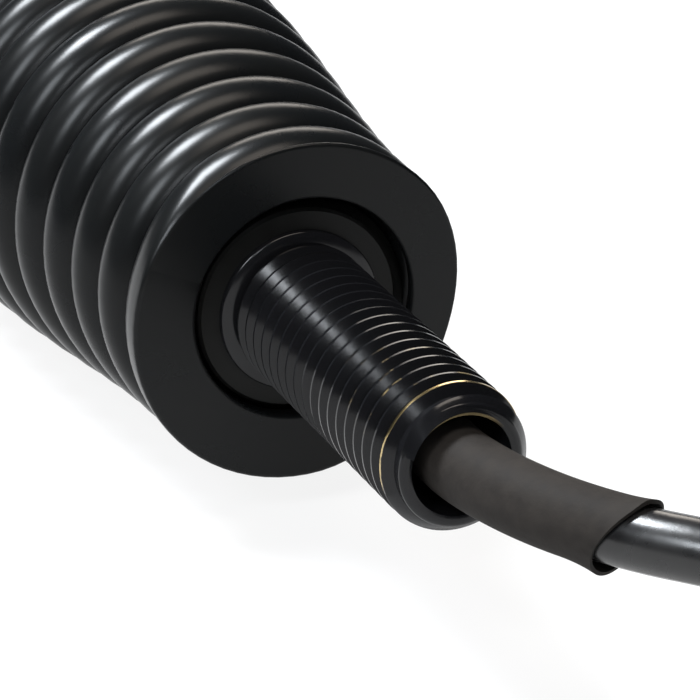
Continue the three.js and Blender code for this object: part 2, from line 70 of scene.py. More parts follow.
camera_data = bpy.data.cameras.new("camera")
camera_data.lens = LENS
camera_data.sensor_width = 36
camera_data.clip_start = 0.01
camera = link("camera", camera_data)
camera.location = CAMERA_PLACE
camera.rotation_euler = (math.pi / 2 - CAMERA_DROP, 0, -CAMERA_TURN)
bpy.context.scene.camera = camera
bpy.context.scene.view_settings.view_transform = "Standard"

# ---- Lead --------------------------------------------------------------------
# Thin coaxial cable with a gloss black jacket. It leaves the stud, turns to the
# right and comes down to the surface, where its spare length lies folded in a hank.
# The tail of the topmost run lifts to the plug, which lies on the hank.
AXIS_HEIGHT = 17.9  # of the spring and the stud above the surface
LEAD_RADIUS = 2.475
LEAD_ROUTE = [
    *[(0, along, AXIS_HEIGHT) for along in (-46.3, -50, -60, -69)], (0.1, -74.4, AXIS_HEIGHT),
    (1.3, -80.2, 17.95), (3.5, -85.8, 18), (6.7, -90.9, 18), (10.6, -95.5, 18),
    (16.5, -101.3, 17.4), (22.6, -107.3, 15.7), (28.7, -113.6, 13.1), (34.1, -120.8, 10),
    (38.4, -129, 7), (41.4, -137.8, 4.9), (42.8, -145.5, 3.85),
]
TAIL_ROUTE = [
    (31.9, -163, 25.83), (32.1, -168, 26.9), (32.6, -173.2, 29.2), (33.4, -178.8, 32.1),
    (34.5, -184.8, 34.9), (35.6, -191, 36.9), (36.3, -197, 37.7), (36.6, -203, 37.875),
    (36.6, -208.4, 37.875), (36.6, -219, 37.875), (36.6, -230, 37.875),
]
FOLD_INNER = 15  # radius of a layer's tightest fold
RUN_LENGTH = 75
HANK_PITCH = 5.5
HANK_TURNS = 12
TURNS_PER_LAYER = 2.5
CLIMB_TURNS = 0.5  # in which the lead rises to the next layer
HANK_PLACE = (14.1, -192.5)
HANK_FOOT = 3.775
RUN_POINTS = 3
FOLD_POINTS = 10

hank_outer = FOLD_INNER + HANK_PITCH * TURNS_PER_LAYER
hank_layers = math.ceil(HANK_TURNS / TURNS_PER_LAYER)
run_share = RUN_LENGTH / (2 * RUN_LENGTH + math.pi * (FOLD_INNER + hank_outer))


def hank_point(turn):
    """Turns spiral in and out again, and climb a layer where the spiral turns back.
    Even halves of a turn run towards -Y and fold round, and odd halves come back."""
    leg = turn / TURNS_PER_LAYER
    from_inner = abs(leg - 2 * math.floor(leg / 2) - 1)
    radius = FOLD_INNER + HANK_PITCH * TURNS_PER_LAYER * from_inner
    climbed = 0
    for layer in range(1, hank_layers):
        share = min(max((turn - layer * TURNS_PER_LAYER) / CLIMB_TURNS + 0.5, 0), 1)
        climbed += 0.5 - 0.5 * math.cos(math.pi * share)
    half = math.floor(2 * turn)
    side = 1 if half % 2 == 0 else -1
    along = turn - half / 2
    run = RUN_LENGTH * (min(along / run_share, 1) - 0.5)
    fold = math.pi * max(along - run_share, 0) / (0.5 - run_share)
    return (
        HANK_PLACE[0] + side * radius * math.cos(fold),
        HANK_PLACE[1] - side * (run + radius * math.sin(fold)),
        HANK_FOOT + HANK_PITCH * climbed,
    )


hank_turns = []
for half_turn in range(2 * HANK_TURNS):
    for i in range(RUN_POINTS):
        hank_turns.append(half_turn / 2 + run_share * i / RUN_POINTS)
    for i in range(FOLD_POINTS):
        hank_turns.append(half_turn / 2 + run_share + (0.5 - run_share) * i / FOLD_POINTS)
hank_turns.append(HANK_TURNS)
lead_points = LEAD_ROUTE + [hank_point(turn) for turn in hank_turns] + TAIL_ROUTE

lead_curve = bpy.data.curves.new("coax_lead_whole", "CURVE")
lead_curve.dimensions = "3D"
lead_curve.bevel_depth = 1  # times the radius of each knot
lead_curve.bevel_resolution = 6
lead_curve.use_fill_caps = True
lead_spline = lead_curve.splines.new("BEZIER")
lead_spline.bezier_points.add(len(lead_points) - 1)
lead_spline.resolution_u = 6
for knot, point in zip(lead_spline.bezier_points, lead_points):
    knot.co = Vector(point) * MM
    knot.radius = LEAD_RADIUS * MM
    knot.handle_left_type = knot.handle_right_type = "AUTO"
lead = link("coax_lead_whole", lead_curve)
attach(lead, "base")
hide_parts("coax_lead", "coax_coil", "coax_tail")


# A Tap is one output of a material's node. Sums, products and comparisons of Taps
# add the nodes that work them out.
class Tap:
    def __init__(self, finish, socket):
        self.finish = finish
        self.socket = socket

    def maths(self, operation, *values):
        settings = {"operation": operation}
        return self.finish.node("ShaderNodeMath", settings, dict(enumerate(values)))

    def __add__(self, other):
        return self.maths("ADD", self, other)

    def __sub__(self, other):
        return self.maths("SUBTRACT", self, other)

    def __rsub__(self, other):
        return self.maths("SUBTRACT", other, self)

    def __mul__(self, other):
        return self.maths("MULTIPLY", self, other)

    __radd__ = __add__
    __rmul__ = __mul__

    def root(self):
        return self.maths("SQRT", self)

    def wave(self):
        return self.maths("SINE", self)

    def rising(self, low, high):
        """0 below low, 1 above high and smooth in between."""
        settings = {"interpolation_type": "SMOOTHSTEP"}
        values = {"Value": self, "From Min": low, "From Max": high}
        return self.finish.node("ShaderNodeMapRange", settings, values)


class Finish:
    """One material: the sockets of its surface are set by name."""

    def __init__(self, name, **sockets):
        self.material = bpy.data.materials.new(name)
        self.material.use_nodes = True
        self.tree = self.material.node_tree
        self.surface = self.tree.nodes["Principled BSDF"]
        self.place = self.node("ShaderNodeTexCoord", output="Object")
        self.wear(**sockets)

    def node(self, kind, settings=None, values=None, output=0):
        node = self.tree.nodes.new(kind)
        for name, value in (settings or {}).items():
            setattr(node, name, value)
        for name, value in (values or {}).items():
            self.plug(node.inputs[name], value)
        return Tap(self, node.outputs[output])

    def plug(self, socket, value):
        if isinstance(value, Tap):
            self.tree.links.new(value.socket, socket)
        elif isinstance(value, tuple) and socket.type == "RGBA":
            socket.default_value = (*value, 1)
        else:
            socket.default_value = value

    def wear(self, **sockets):
        for name, value in sockets.items():
            self.plug(self.surface.inputs[name.replace("_", " ")], value)

    def noise(self, per_mm, detail=2):
        values = {"Vector": self.place, "Scale": per_mm / MM, "Detail": detail}
        return self.node("ShaderNodeTexNoise", values=values)

    def mixed(self, share, dark, light):
        return self.node("ShaderNodeMix", {"data_type": "RGBA"}, {0: share, 6: dark, 7: light}, 2)

    def raised(self, height, depth_mm):
        """Raises the surface by depth_mm where height is 1."""
        values = {"Height": height, "Distance": depth_mm * MM}
        self.wear(Normal=self.node("ShaderNodeBump", values=values))

    def axes(self):
        """Taps for the three coordinates of the place, in millimetres."""
        split = self.node("ShaderNodeSeparateXYZ", values={0: self.place})
        return [Tap(self, output) * (1 / MM) for output in split.socket.node.outputs]

    def on(self, *pieces):
        for piece in pieces:
            piece.data.materials.clear()
            piece.data.materials.append(self.material)


jacket = Finish("black_cable_jacket")
smear = jacket.noise(0.35, 4)
jacket.wear(
    Specular_IOR_Level=0.5,
    Roughness=smear.rising(0.3, 0.75) * 0.1 + 0.22,
    Base_Color=jacket.mixed(smear, (0.005, 0.005, 0.0055), (0.011, 0.0105, 0.01)),
)
jacket.raised(jacket.noise(1.1, 3), 0.015)
jacket.on(lead)

# ---- Shrunk sleeve -----------------------------------------------------------
# Sleeve of shrunk polyolefin over the lead where it bends out of the stud. It was
# cut with scissors, so its free end slants, and the end curls open underneath.
SLEEVE_RADIUS = 2.92
SLEEVE_WALL = 0.32
SLEEVE_START = -57.8
SLEEVE_LENGTH = 33.7
SLEEVE_SPARE = 3  # length that the slanting cut takes off
SLEEVE_ROWS = 90
SLEEVE_SIDES = 64
CUT_SLANT = Vector((0.34, 1, -0.5)).normalized()
CURL_LENGTH = 2.6
CURL_SIDE = math.radians(-80)  # round the sleeve, where the curl is widest
CURL_SHARE = 0.16  # what the curl adds to the radius
TOP_CURL = 0.4  # of that at the narrow curl on top
END_FLARE = 0.03  # what the whole cut end adds to the radius
END_RIPPLE = 0.02
ROUTE_STEP = 0.5
ROUTE_DIVISIONS = 40  # between two points of a route, before even steps


def route_frames(route):
    """Points at even steps along a smooth curve through a route, with the directions
    to the right of and above the curve there."""
    points = [Vector(p) for p in route]
    dense = []
    for i in range(len(points) - 1):
        before, a, b = points[max(i - 1, 0)], points[i], points[i + 1]
        after = points[min(i + 2, len(points) - 1)]
        for step in range(ROUTE_DIVISIONS):
            t = step / ROUTE_DIVISIONS
            dense.append(0.5 * (
                2 * a
                + (b - before) * t
                + (2 * before - 5 * a + 4 * b - after) * t ** 2
                + (3 * a - before - 3 * b + after) * t ** 3
            ))
    dense.append(points[-1])
    evenly = [dense[0]]
    walked = 0
    for a, b in zip(dense, dense[1:]):
        length = (b - a).length
        while walked + length >= ROUTE_STEP * len(evenly):
            evenly.append(a.lerp(b, (ROUTE_STEP * len(evenly) - walked) / length))
        walked += length
    frames = []
    for i, point in enumerate(evenly):
        along = (evenly[min(i + 1, len(evenly) - 1)] - evenly[max(i - 1, 0)]).normalized()
        right = along.cross(Vector((0, 0, 1))).normalized()
        frames.append((point, right, right.cross(along)))
    return frames


def bend_along(bm, frames):
    """Lays a piece that was made along +Y on a route: y is the distance along it."""
    for vert in bm.verts:
        place = min(max(vert.co.y / ROUTE_STEP, 0), len(frames) - 1.001)
        share = place - int(place)
        near, far = frames[int(place)], frames[int(place) + 1]
        point, right, up = (a.lerp(b, share) for a, b in zip(near, far))
        vert.co = point + right * vert.co.x + up * vert.co.z


def extruded(bm, edges, length):
    """Draws edges out along +Y, and gives the new edges."""
    grown = bmesh.ops.extrude_edge_only(bm, edges=edges)["geom"]
    moved = [g for g in grown if isinstance(g, bmesh.types.BMVert)]
    bmesh.ops.translate(bm, vec=(0, length, 0), verts=moved)
    return [g for g in grown if isinstance(g, bmesh.types.BMEdge)]


def straight_tube(radius, length, sides, count, capped=False):
    """A tube along +Y from the origin, made of rows of quads."""
    bm = bmesh.new()
    bmesh.ops.create_circle(bm, segments=sides, radius=radius)
    bmesh.ops.rotate(bm, matrix=Matrix.Rotation(-math.pi / 2, 3, "X"), verts=bm.verts)
    edges = bm.edges[:]
    for _ in range(count):
        edges = extruded(bm, edges, length / count)
    if capped:
        bmesh.ops.holes_fill(bm, edges=[e for e in bm.edges if e.is_boundary], sides=0)
    return bm


def whole(bm):
    return bm.verts[:] + bm.edges[:] + bm.faces[:]


def finished(name, bm, body=None, sharp=40):
    """Turns a bmesh in millimetres into a piece in metres, with its faces outwards and
    edges sharper than an angle shaded as edges."""
    bmesh.ops.recalc_face_normals(bm, faces=bm.faces)
    bmesh.ops.scale(bm, vec=(MM, MM, MM), verts=bm.verts)
    mesh = bpy.data.meshes.new(name)
    bm.to_mesh(mesh)
    bm.free()
    mesh.shade_smooth()
    mesh.set_sharp_from_angle(angle=math.radians(sharp))
    piece = link(name, mesh)
    if body:
        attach(piece, body)
    return piece


def dressed(piece, node, finish):
    """Puts a piece in the place of a CAD node and its finish."""
    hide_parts(node)
    finish.on(piece)
    return piece


uncut = SLEEVE_LENGTH + SLEEVE_SPARE
sleeve_bm = straight_tube(SLEEVE_RADIUS, uncut, SLEEVE_SIDES, SLEEVE_ROWS)
bmesh.ops.bisect_plane(
    sleeve_bm,
    geom=whole(sleeve_bm),
    plane_co=(0, SLEEVE_LENGTH, 0),
    plane_no=CUT_SLANT,
    clear_outer=True,
)
for vert in sleeve_bm.verts:
    behind = (Vector((0, SLEEVE_LENGTH, 0)) - vert.co).dot(CUT_SLANT)
    lift = max(0, 1 - behind / CURL_LENGTH) ** 2
    round_it = math.atan2(vert.co.z, vert.co.x)
    curl = max(0, math.cos(round_it - CURL_SIDE)) ** 4
    curl += TOP_CURL * max(0, math.sin(round_it)) ** 20
    ripple = END_RIPPLE * math.sin(3 * round_it + 0.7)
    swell = 1 + lift * (END_FLARE + ripple + CURL_SHARE * curl)
    vert.co.x *= swell
    vert.co.z *= swell
bmesh.ops.recalc_face_normals(sleeve_bm, faces=sleeve_bm.faces)
bmesh.ops.solidify(sleeve_bm, geom=sleeve_bm.faces[:], thickness=SLEEVE_WALL)
bend_along(sleeve_bm, route_frames([(0, SLEEVE_START, AXIS_HEIGHT)] + LEAD_ROUTE[2:]))
sleeve = finished("shrunk_sleeve_skin", sleeve_bm, "base")

shrunk = Finish("shrunk_polyolefin")
grain = shrunk.noise(0.8, 4)
shrunk.wear(
    Specular_IOR_Level=0.05,
    Base_Color=shrunk.mixed(grain, (0.009, 0.008, 0.0075), (0.022, 0.019, 0.0165)),
    Roughness=grain * 0.16 + 0.58,
)
shrunk.raised(shrunk.noise(2.2, 3), 0.03)
dressed(sleeve, "shrunk_sleeve", shrunk)

# ---- Barrel spring -----------------------------------------------------------
# Close-wound barrel spring of round wire under black enamel. Both ends are closed,
# with the wire drawn out square, and ground flat, so that each end is a full ring
# whose last turn runs out in a feather. It is made in two halves.
FACE_STATION = 42.1  # the ground face lies this far towards -Y
BASE_PLACE = (0, -FACE_STATION, AXIS_HEIGHT)
SPRING_LENGTH = 94.5
BELLY_START = 3  # the coil is straight this far in from each end
BELLY_RADIUS = 18.4
END_RADIUS = 14.68
WIRE_RADIUS = 2.72
SPRING_PITCH = 5.55
FEATHER_ANGLE = math.radians(-67.5)
FEATHER_EDGE = 0.004  # turns that the thinnest part of the feather lacks
TURN_STEPS = 72
WIRE_SIDES = 40
MERGED = 1e-4  # vertices nearer than this are made one
RING_TURNS = 1.1  # the wire is square this far from each end
RING_EASE = 0.1  # turns in which it goes from round to square
CORNER_RADIUS = 0.3  # of the square wire
RING_FLANK = 1.1  # its sides are straight this far, then round
FACE_SHARE = 0.5  # shares of a quarter of the wire's rim that make
CORNER_SHARE = 0.3  # the half face, its rounded corner
FLANK_SHARE = 0.2  # and the straight side
SEAM_TURN = 8.6875  # the halves meet here, on the underside
BEND_INSET = 12  # distance from each end to a point that flexible works out; nothing bends
END_LOSS = 1.3  # the end ring is this much narrower half-way round
LOSS_TURN = 0.5
LOSS_SPREAD = 0.18
END_HOLE_RADIUS = 9.5
END_HOLE_SHIFT = 0.45  # the hole lies off the axis by this
END_HOLE_ANGLE = math.radians(20)

spring_turns = (SPRING_LENGTH + 2 * WIRE_RADIUS) / SPRING_PITCH


def wire_station(turn):
    """Station of the wire's centre. At turn 0 the wire only touches the ground face."""
    return SPRING_PITCH * turn - WIRE_RADIUS


def wire_centre_radius(turn):
    station = wire_station(turn)
    from_end = max(min(station, SPRING_LENGTH - station) - BELLY_START, 0)
    share = from_end / (SPRING_LENGTH / 2 - BELLY_START)
    swell = (BELLY_RADIUS - END_RADIUS) * share ** 2 * (3 - 2 * share)
    return END_RADIUS + swell - WIRE_RADIUS


def nearest_turn(vert):
    """Count of turns of the wire, at this vertex's angle, that lies nearest to it."""
    turn = (math.atan2(vert.co.x, vert.co.z) - FEATHER_ANGLE) / (2 * math.pi)
    return turn + round((vert.co.y - wire_station(turn)) / SPRING_PITCH)


def squared(across, along, depth):
    """Section of the drawn-out wire at a ground end. across and along are the round
    wire's section, where along points into the spring, and depth is how far the
    wire's far side lies from the ground face. The face and its rounded corners are
    alike all round. Gives across and depth of the point."""
    joint = depth * RING_FLANK / SPRING_PITCH
    inner = WIRE_RADIUS - CORNER_RADIUS
    cut = 1 - min(joint / CORNER_RADIUS, 1)
    limit = inner + CORNER_RADIUS * math.sqrt(1 - cut ** 2)
    if along >= 0:
        return across * limit / WIRE_RADIUS, joint + (depth - joint) * along / WIRE_RADIUS
    share = abs(math.atan2(across, -along)) / (math.pi / 2)
    flank = FACE_SHARE + CORNER_SHARE
    if share < FACE_SHARE:
        wide, deep = inner * (1 - (1 - share / FACE_SHARE) ** 2), 0
    elif share < flank:
        bend = math.pi / 2 * (share - FACE_SHARE) / CORNER_SHARE
        wide = inner + CORNER_RADIUS * math.sin(bend)
        deep = CORNER_RADIUS * (1 - math.cos(bend))
    else:
        wide = WIRE_RADIUS
        deep = CORNER_RADIUS + (RING_FLANK - CORNER_RADIUS) * (share - flank) / FLANK_SHARE
    return math.copysign(min(wide, limit), across), min(deep, joint)


def wound(bm, turns, steps, climb=0, merge=False):
    """Spins a section about Y, and moves it along by climb on the way."""
    bmesh.ops.spin(
        bm,
        geom=whole(bm),
        cent=(0, 0, 0),
        axis=(0, 1, 0),
        dvec=(0, climb / steps, 0),
        angle=2 * math.pi * turns,
        steps=steps,
        use_merge=merge,
    )


def half_spring(name, first_turn, last_turn):
    """The wire is wound at the belly's radius, then each point is moved in to the
    barrel's radius, and the end turns are drawn out square."""
    bm = bmesh.new()
    bmesh.ops.create_circle(bm, segments=WIRE_SIDES, radius=WIRE_RADIUS, cap_ends=True)
    bmesh.ops.rotate(bm, matrix=Matrix.Rotation(math.pi / 2, 3, "Y"), verts=bm.verts)
    core = BELLY_RADIUS - WIRE_RADIUS
    bmesh.ops.translate(bm, vec=(0, wire_station(first_turn), core), verts=bm.verts)
    start_angle = FEATHER_ANGLE + 2 * math.pi * first_turn
    bmesh.ops.rotate(
        bm, cent=(0, 0, 0), matrix=Matrix.Rotation(start_angle, 3, "Y"), verts=bm.verts
    )
    turns = last_turn - first_turn
    wound(bm, turns, math.ceil(turns * TURN_STEPS), SPRING_PITCH * turns)
    for vert in bm.verts:
        turn = nearest_turn(vert)
        station = wire_station(turn)
        angle_radius = math.hypot(vert.co.x, vert.co.z)
        across = angle_radius - core
        along = vert.co.y - station
        from_end = min(turn, spring_turns - turn)
        if from_end < RING_TURNS:
            inwards = 1 if turn < spring_turns / 2 else -1
            square = min(max((RING_TURNS - from_end) / RING_EASE, 0), 1)
            flat, depth = squared(across, along * inwards, SPRING_PITCH * from_end)
            if flat > 0:
                half_way = max(1 - abs(from_end - LOSS_TURN) / LOSS_SPREAD, 0)
                flat -= END_LOSS * math.sin(math.pi / 2 * half_way) ** 2 * flat / WIRE_RADIUS
            else:
                off_hole = math.atan2(vert.co.x, vert.co.z) - END_HOLE_ANGLE
                hole = END_HOLE_RADIUS + END_HOLE_SHIFT * math.cos(off_hole)
                flat *= (wire_centre_radius(turn) - hole) / WIRE_RADIUS
            face = 0 if inwards > 0 else SPRING_LENGTH
            across += (flat - across) * square
            along += (face + inwards * depth - station - along) * square
        scale = (wire_centre_radius(turn) + across) / angle_radius
        vert.co = (vert.co.x * scale, station + along, vert.co.z * scale)
        vert.co.z = max(vert.co.z, -AXIS_HEIGHT)
    bmesh.ops.dissolve_degenerate(bm, dist=MERGED, edges=bm.edges[:])
    bmesh.ops.translate(bm, vec=BASE_PLACE, verts=bm.verts)
    return finished(name, bm)


def flexible(lower, upper):
    """Bakes the places of a piece's two halves into their meshes. Points at the base, the
    middle of the spring and the head are worked out, but nothing bends."""
    start, middle, end = (
        (0, (station - FACE_STATION) * MM, AXIS_HEIGHT * MM)
        for station in (BEND_INSET, wire_station(SEAM_TURN), SPRING_LENGTH - BEND_INSET)
    )
    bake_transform(lower)
    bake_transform(upper)


lower_spring = half_spring("barrel_spring_lower", FEATHER_EDGE, SEAM_TURN)
upper_spring = half_spring("barrel_spring_upper", SEAM_TURN, spring_turns - FEATHER_EDGE)
flexible(lower_spring, upper_spring)
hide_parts("barrel_spring")

enamel = Finish("black_enamel")
mottle = enamel.noise(0.12, 4)
enamel.wear(
    Specular_IOR_Level=0.17,
    Base_Color=enamel.mixed(mottle, (0.002, 0.0025, 0.003), (0.0045, 0.0045, 0.0042)),
    Roughness=mottle * 0.12 + 0.22,
)
enamel.raised(enamel.noise(0.9, 2), 0.004)
enamel.on(lower_spring, upper_spring)

# ---- Lower ferrule -----------------------------------------------------------
# Turned steel plug, blacked. It is screwed into the inside of the spring on a helical
# seat, and its disc shows inside the ground end with a dark gap round it.
DISC_RADIUS = 8.7
DISC_RECESS = 1.2
DISC_EDGE = 0.25
FERRULE_RADIUS = 10.9
FERRULE_DEPTH = 14
SEAT_START = 3
SEAT_SLOPE = 0.8
WIRE_CLEARANCE = 0.3
LEAD_HOLE = 3.2
STUD_SEAT = 9.6  # station of the stud's inner end
STUD_RADIUS = 6
STUD_PLAY = 0.1  # of the stud in its hole
SEAT_MARGIN = 0.1  # only what stands out beyond the disc is pressed
GAP = 0.3  # between pieces that rest on one another


def rounded_outline(bm, corners, rounding, segments=3):
    """A closed line through corners, with those off the plane x = 0 rounded."""
    verts = [bmesh.ops.create_vert(bm, co=co)["vert"][0] for co in corners]
    bm.faces.new(verts)
    if rounding:
        bmesh.ops.bevel(
            bm,
            geom=[v for v in verts if v.co.x],
            offset=rounding,
            segments=segments,
            profile=0.5,
            affect="VERTICES",
            material=-1,
            clamp_overlap=True,
        )
    bmesh.ops.delete(bm, geom=bm.faces[:], context="FACES_ONLY")


def turned(name, corners, body, rounding=0.15, segments=96, shape=None, sharp=40,
           place=BASE_PLACE, flip=False):
    """Turns a closed outline of (radius, station) corners about Y, with its corners
    rounded. shape may then move vertices, and flip turns the piece end for end."""
    bm = bmesh.new()
    rounded_outline(bm, [(radius, station, 0) for radius, station in corners], rounding)
    on_axis = [e for e in bm.edges if not any(v.co.x for v in e.verts)]
    bmesh.ops.delete(bm, geom=on_axis, context="EDGES")
    wound(bm, 1, segments, merge=True)
    bmesh.ops.remove_doubles(bm, verts=bm.verts, dist=MERGED)
    if shape:
        shape(bm)
    if flip:
        bmesh.ops.scale(bm, vec=(1, -1, 1), verts=bm.verts)
    bmesh.ops.translate(bm, vec=place, verts=bm.verts)
    return finished(name, bm, body, sharp)


def turned_node(node, corners, body, slot, finish, **turning):
    """A turned piece in the place of the CAD node of its name."""
    return dressed(turned(node + "_turned", corners, body, **turning), node, finish)


def seat_for_wire(bm):
    """Presses the helical seat for the wire into a ferrule."""
    deep = WIRE_RADIUS + WIRE_CLEARANCE
    for vert in bm.verts:
        radius = math.hypot(vert.co.x, vert.co.z)
        if radius < DISC_RADIUS + SEAT_MARGIN or vert.co.y > SPRING_LENGTH:
            continue
        turn = nearest_turn(vert)
        off = vert.co.y - wire_station(turn)
        floor = wire_centre_radius(turn) - math.sqrt(deep ** 2 - off ** 2)
        scale = min(floor / radius, 1)
        vert.co.x *= scale
        vert.co.z *= scale


def rows(radius, start, end, spacing=0.3):
    """Corners close together along a straight side, so that it can take a shape."""
    count = round(abs(end - start) / spacing)
    return [(radius, start + (end - start) * i / count) for i in range(count + 1)]


blacked = Finish("blacked_steel")
haze = blacked.noise(0.5, 4)
blacked.wear(
    Specular_IOR_Level=0.13,
    Base_Color=blacked.mixed(haze, (0.003, 0.003, 0.0027), (0.006, 0.0059, 0.0054)),
    Roughness=haze * 0.15 + 0.36,
)

turned_node("base_ferrule", [
    (STUD_RADIUS + STUD_PLAY, DISC_RECESS),
    (DISC_RADIUS - DISC_EDGE, DISC_RECESS),
    (DISC_RADIUS, DISC_RECESS + DISC_EDGE),
    (DISC_RADIUS, SEAT_START - SEAT_SLOPE),
    *rows(FERRULE_RADIUS, SEAT_START, FERRULE_DEPTH),
    (LEAD_HOLE, FERRULE_DEPTH),
    (LEAD_HOLE, STUD_SEAT + GAP),
    (STUD_RADIUS + STUD_PLAY, STUD_SEAT + GAP),
], "base", "ferrule_steel", blacked, rounding=0, segments=160, shape=seat_for_wire)

# ---- Hollow stud -------------------------------------------------------------
# Brass stud with an M12 x 1.75 thread and a bore for the lead, plated black. The nose
# is rounded, and the plating is worn through to brass all round the last crest. On the
# crests behind it near the nose, and on the edge of the bore, the brass is shown only on
# their upper side, so it is part wear and part painted highlight. A thin collar seats
# on the ferrule.
STUD_LENGTH = 32.3
STUD_NOSE = 2.3  # length of the rounded nose
STUD_TIP_RADIUS = 4.45
STUD_BORE = 4.04
STUD_CORE = 5.1  # radius at the thread's roots
STUD_PITCH = 1.75
RIDGE_FOOT = 0.41  # half a ridge's widths at its foot and its crest,
RIDGE_FLAT = 0.0625  # in pitches
RIDGE_SINK = 0.2  # how deep its foot lies in the core
NOSE_STEPS = 12
BORE_EDGE = (0.1, 0.08, 0.3)  # its width, and its depth on either side
COLLAR_RADIUS = 6.9
COLLAR_THICKNESS = 0.6
COLLAR_EDGE = 0.12
THREAD_END_ANGLE = math.radians(-72)


def nose_radius(station):
    """Radius of the rounded nose, or of the crests behind it."""
    into_nose = min(max((STUD_NOSE - STUD_LENGTH - station) / STUD_NOSE, 0), 1)
    return STUD_TIP_RADIUS + (STUD_RADIUS - STUD_TIP_RADIUS) * math.sqrt(1 - into_nose ** 2)


def thread_ridge(bm, root, crest, pitch, start, end, steps=72, angle=0.0):
    """Adds a right-handed thread's ridge about Y on a core or in a bore, and gives
    its vertices."""
    ridge = bmesh.new()
    foot, flat = RIDGE_FOOT * pitch, RIDGE_FLAT * pitch
    for radius, station in ((root, -foot), (crest, -flat), (crest, flat), (root, foot)):
        bmesh.ops.create_vert(ridge, co=(0, start + station, radius))
    ridge.faces.new(ridge.verts)
    matrix = Matrix.Rotation(angle, 3, "Y")
    bmesh.ops.rotate(ridge, cent=(0, 0, 0), matrix=matrix, verts=ridge.verts)
    turns = (end - start) / pitch
    wound(ridge, turns, round(turns * steps), end - start)
    bmesh.ops.recalc_face_normals(ridge, faces=ridge.faces)
    mesh = bpy.data.meshes.new("ridge")
    ridge.to_mesh(mesh)
    ridge.free()
    before = len(bm.verts)
    bm.from_mesh(mesh)
    bpy.data.meshes.remove(mesh)
    return bm.verts[before:]


def stud_thread(bm):
    """Adds the thread, which runs out on the rounded nose."""
    start, end = 0.2 - STUD_LENGTH, DISC_RECESS + 1.5
    root = STUD_CORE - RIDGE_SINK
    added = thread_ridge(bm, root, STUD_RADIUS, STUD_PITCH, start, end, 96, THREAD_END_ANGLE)
    for vert in added:
        scale = min(nose_radius(vert.co.y) / math.hypot(vert.co.x, vert.co.z), 1)
        vert.co.x *= scale
        vert.co.z *= scale


plating = Finish("black_plating_on_brass")
across, along, height = plating.axes()
height = height - AXIS_HEIGHT
from_axis = (across * across + height * height).root()
from_tip = along + (FACE_STATION + STUD_LENGTH)
patchy = plating.noise(0.5, 3)
last_crest = (from_axis + patchy * 0.1).rising(6.0, 6.04) * (1 - from_tip.rising(2.7, 3.3))
# Crests near the nose in brass only on their upper side: part wear, part painted highlight.
crests = (from_axis + patchy * 0.16).rising(6.08, 6.12) * height.rising(1, 5)
# Edge of the bore in brass only on its upper side: part wear, part painted highlight.
bore_rim_wear_and_highlight = (1 - from_axis.rising(4.3, 4.4)) * (1 - from_tip.rising(0.1, 0.3)) * height.rising(2.5, 4)
# Brass: real wear on the last crest, plus the painted highlight of the two upper-side masks.
bare_brass_and_highlight = last_crest + crests * (1 - from_tip.rising(3, 14)) * 0.5 + bore_rim_wear_and_highlight * 0.3
plating.wear(
    Specular_IOR_Level=0.28,
    Base_Color=plating.mixed(bare_brass_and_highlight, (0.004, 0.004, 0.0045), (0.6, 0.45, 0.22)),
    Metallic=bare_brass_and_highlight,
    Roughness=plating.noise(0.7) * 0.08 + 0.12,
)

nose = []
for i in range(NOSE_STEPS + 1):
    station = -STUD_LENGTH + STUD_NOSE * (1 - math.cos(math.radians(90 / NOSE_STEPS * i)))
    nose.append((min(nose_radius(station), STUD_CORE), station))
turned_node("threaded_stud", [
    (STUD_BORE, -STUD_LENGTH + BORE_EDGE[2]),
    (STUD_BORE + BORE_EDGE[0], -STUD_LENGTH + BORE_EDGE[1]),
    *nose,
    (STUD_CORE, DISC_RECESS - COLLAR_THICKNESS),
    (COLLAR_RADIUS - COLLAR_EDGE, DISC_RECESS - COLLAR_THICKNESS),
    (COLLAR_RADIUS, DISC_RECESS - COLLAR_THICKNESS + COLLAR_EDGE),
    (COLLAR_RADIUS, DISC_RECESS),
    (STUD_RADIUS, DISC_RECESS),
    (STUD_RADIUS, STUD_SEAT),
    (STUD_BORE, STUD_SEAT),
], "base", "stud_brass", plating, rounding=0, segments=128, shape=stud_thread, sharp=50)

# ---- Crimp and gland in the stud ---------------------------------------------
# A brass ferrule is crimped on the lead's screen inside the stud, and a rubber gland
# keeps water out of the bore behind it.
CRIMP_START = -0.4
CRIMP_LENGTH = 9
CRIMP_RIMS = (3.4, 2.8)  # full-width lengths at its two ends
CRIMP_DENT = 0.35
CRIMP_SLOPE = 0.4
GLAND_START = -14
GLAND_LENGTH = 10
GLAND_RIB = 2  # from one rib to the next
GLAND_LAND = 1.2  # each rib's flat, then the groove's floor
GLAND_GROOVE = (1.5, 1.7)
GROOVE_DEPTH = 0.3

lead_bore = LEAD_RADIUS + GAP
stud_fill = STUD_BORE - GAP
crimp_end = CRIMP_START + CRIMP_LENGTH
brass = Finish("turned_brass", Metallic=1)
brass_haze = brass.noise(0.6, 3)
brass.wear(
    Base_Color=brass.mixed(brass_haze, (0.52, 0.37, 0.16), (0.66, 0.49, 0.24)),
    Roughness=brass_haze * 0.2 + 0.2,
)
rubber = Finish("black_rubber", Base_Color=(0.016, 0.016, 0.016), Roughness=0.7)
rubber.raised(rubber.noise(1.5, 3), 0.02)

turned_node("screen_crimp", [
    (lead_bore, CRIMP_START),
    (stud_fill, CRIMP_START),
    (stud_fill, CRIMP_START + CRIMP_RIMS[0]),
    (stud_fill - CRIMP_DENT, CRIMP_START + CRIMP_RIMS[0] + CRIMP_SLOPE),
    (stud_fill - CRIMP_DENT, crimp_end - CRIMP_RIMS[1] - CRIMP_SLOPE),
    (stud_fill, crimp_end - CRIMP_RIMS[1]),
    (stud_fill, crimp_end),
    (lead_bore, crimp_end),
], "base", "brass", brass, rounding=0.1, segments=64)

